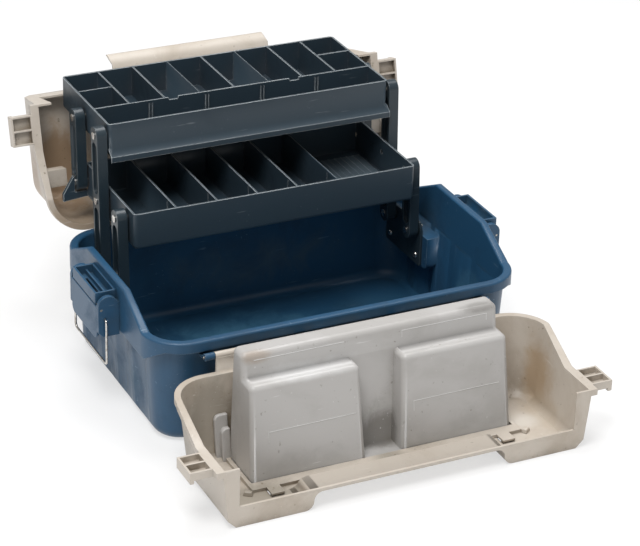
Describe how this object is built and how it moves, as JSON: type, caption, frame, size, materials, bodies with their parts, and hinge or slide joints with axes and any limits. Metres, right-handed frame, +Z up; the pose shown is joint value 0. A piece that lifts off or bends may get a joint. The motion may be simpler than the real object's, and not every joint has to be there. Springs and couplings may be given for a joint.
{
  "type": "tackle box",
  "caption": "Hip-roof tackle box: tub with end latches, front and rear lids, cantilever trays on arms, bait bins in the front lid.",
  "frame": {"origin": "centre of the tub's underside, on the floor", "axes": "+X to the right along the long side, +Y to the back, +Z up"},
  "size_m": [0.54, 0.679, 0.2953],
  "materials": {
    "base_tub": "steel blue plastic, soft gloss",
    "left_arm_bracket": "dark slate plastic",
    "right_arm_bracket": "dark slate plastic",
    "bracket_screws": "bright drawn wire",
    "bracket_pins": "bright drawn wire",
    "front_hinge_pin": "bright drawn wire",
    "rear_hinge_pin": "bright drawn wire",
    "left_latch_housing": "steel blue plastic, soft gloss",
    "right_latch_housing": "steel blue plastic, soft gloss",
    "left_latch_pin": "bright drawn wire",
    "right_latch_pin": "bright drawn wire",
    "front_lid": "worn bone plastic",
    "lid_bins": "scuffed pale grey plastic",
    "bin_door_pins": "bright drawn wire",
    "bin_door": "worn bone plastic",
    "rear_lid": "worn bone plastic",
    "handle_pins": "bright drawn wire",
    "carry_handle": "navy plastic",
    "left_long_arm": "dark slate plastic",
    "right_long_arm": "dark slate plastic",
    "left_front_arm": "dark slate plastic",
    "right_front_arm": "dark slate plastic",
    "left_rear_arm": "dark slate plastic",
    "right_rear_arm": "dark slate plastic",
    "lower_tray": "dark slate plastic",
    "lower_tray_pins": "bright drawn wire",
    "upper_tray": "dark slate plastic",
    "upper_tray_pins": "bright drawn wire",
    "left_latch_lever": "steel blue plastic, soft gloss",
    "right_latch_lever": "steel blue plastic, soft gloss",
    "left_latch_bail": "bright drawn wire",
    "right_latch_bail": "bright drawn wire"
  },
  "bodies": {
    "base": {"base_tub": "base_tub", "left_arm_bracket": "left_arm_bracket", "right_arm_bracket": "right_arm_bracket", "bracket_screws": "bracket_screws", "bracket_pins": "bracket_pins", "front_hinge_pin": "front_hinge_pin", "rear_hinge_pin": "rear_hinge_pin", "left_latch_housing": "left_latch_housing", "right_latch_housing": "right_latch_housing", "left_latch_pin": "left_latch_pin", "right_latch_pin": "right_latch_pin"},
    "front_lid": {"front_lid": "front_lid", "lid_bins": "lid_bins", "bin_door_pins": "bin_door_pins"},
    "bin_door": {"bin_door": "bin_door"},
    "rear_lid": {"rear_lid": "rear_lid", "handle_pins": "handle_pins"},
    "carry_handle": {"carry_handle": "carry_handle"},
    "long_arms": {"left_long_arm": "left_long_arm", "right_long_arm": "right_long_arm"},
    "front_arms": {"left_front_arm": "left_front_arm", "right_front_arm": "right_front_arm"},
    "rear_arms": {"left_rear_arm": "left_rear_arm", "right_rear_arm": "right_rear_arm"},
    "lower_tray": {"lower_tray": "lower_tray", "lower_tray_pins": "lower_tray_pins"},
    "upper_tray": {"upper_tray": "upper_tray", "upper_tray_pins": "upper_tray_pins"},
    "left_latch_lever": {"left_latch_lever": "left_latch_lever"},
    "right_latch_lever": {"right_latch_lever": "right_latch_lever"},
    "left_latch_bail": {"left_latch_bail": "left_latch_bail"},
    "right_latch_bail": {"right_latch_bail": "right_latch_bail"}
  },
  "joints": [
    {"name": "front_lid_hinge", "type": "hinge", "parent": "base", "child": "front_lid", "pos_m": [0, -0.17, 0.122], "axis": [1, 0, 0], "range_deg": [-180, 0]},
    {"name": "rear_lid_hinge", "type": "hinge", "parent": "base", "child": "rear_lid", "pos_m": [0, 0.17, 0.122], "axis": [1, 0, 0], "range_deg": [0, 104]},
    {"name": "long_arm_fold", "type": "hinge", "parent": "base", "child": "long_arms", "pos_m": [0.199, 0.122, 0.1082], "axis": [1, 0, 0], "range_deg": [0, 61]},
    {"name": "lower_tray_pivot", "type": "hinge", "parent": "long_arms", "child": "lower_tray", "pos_m": [0.199, 0.1265, 0.19408], "axis": [1, 0, 0], "range_deg": [-61, 0]},
    {"name": "upper_tray_pivot", "type": "hinge", "parent": "long_arms", "child": "upper_tray", "pos_m": [0.199, 0.131, 0.27996], "axis": [1, 0, 0], "range_deg": [-61, 0]},
    {"name": "front_arm_fold", "type": "hinge", "parent": "base", "child": "front_arms", "pos_m": [0.199, 0.0595, 0.112], "axis": [1, 0, 0], "range_deg": [0, 61]},
    {"name": "rear_arm_fold", "type": "hinge", "parent": "lower_tray", "child": "rear_arms", "pos_m": [0.199, 0.2015, 0.18808], "axis": [1, 0, 0], "range_deg": [0, 61]},
    {"name": "bin_door_hinge", "type": "hinge", "parent": "front_lid", "child": "bin_door", "pos_m": [0.15, -0.298, 0.0026], "axis": [1, 0, 0], "range_deg": [-110, 0]},
    {"name": "handle_swing", "type": "hinge", "parent": "rear_lid", "child": "carry_handle", "pos_m": [0.109, 0.31884, 0.24773], "axis": [1, 0, 0], "range_deg": [-90, 0]},
    {"name": "left_lever_throw", "type": "hinge", "parent": "base", "child": "left_latch_lever", "pos_m": [-0.2655, 0, 0.1385], "axis": [0, 1, 0], "range_deg": [0, 100]},
    {"name": "right_lever_throw", "type": "hinge", "parent": "base", "child": "right_latch_lever", "pos_m": [0.2655, 0, 0.1385], "axis": [0, 1, 0], "range_deg": [-100, 0]},
    {"name": "left_bail_swing", "type": "hinge", "parent": "base", "child": "left_latch_bail", "pos_m": [-0.2615, 0, 0.1263], "axis": [0, 1, 0], "range_deg": [0, 180]},
    {"name": "right_bail_swing", "type": "hinge", "parent": "base", "child": "right_latch_bail", "pos_m": [0.2615, 0, 0.1263], "axis": [0, 1, 0], "range_deg": [-180, 0]}
  ],
  "couplings": [
    {"joint": "long_arm_fold", "follows": "rear_lid_hinge", "ratio": 0.58654},
    {"joint": "lower_tray_pivot", "follows": "rear_lid_hinge", "ratio": -0.58654},
    {"joint": "upper_tray_pivot", "follows": "rear_lid_hinge", "ratio": -0.58654},
    {"joint": "front_arm_fold", "follows": "rear_lid_hinge", "ratio": 0.58654},
    {"joint": "rear_arm_fold", "follows": "rear_lid_hinge", "ratio": 0.58654}
  ]
}
